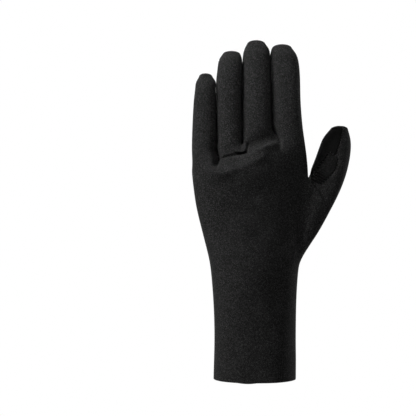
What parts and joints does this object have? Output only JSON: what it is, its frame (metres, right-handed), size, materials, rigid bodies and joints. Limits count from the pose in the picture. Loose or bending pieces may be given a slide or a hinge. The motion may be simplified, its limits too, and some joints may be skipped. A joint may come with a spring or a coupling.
{
  "type": "neoprene glove",
  "caption": "Left-hand neoprene sport glove with a long cuff, heathered back, smooth palm and a ribbed gusset at the thumb.",
  "frame": {"origin": "middle of the cuff's mouth at the height of its sides, where the hand goes in", "axes": "+Z towards the fingertips, -Y out of the back of the hand, +Y out of the palm, +X towards the thumb"},
  "size_m": [0.1414, 0.0576, 0.3054],
  "materials": {
    "heather_jersey": "heathered charcoal jersey on foam, matt",
    "smooth_jersey": "plain black jersey on foam, matt"
  },
  "bodies": {
    "root": {"back_panel": "heather_jersey", "two_finger_back": "heather_jersey", "palm_panel": "smooth_jersey", "cuff_panel": "smooth_jersey", "thumb_gusset": "smooth_jersey", "little_ring_web": "smooth_jersey", "ring_middle_web": "smooth_jersey", "middle_index_web": "smooth_jersey"}
  },
  "joints": []
}
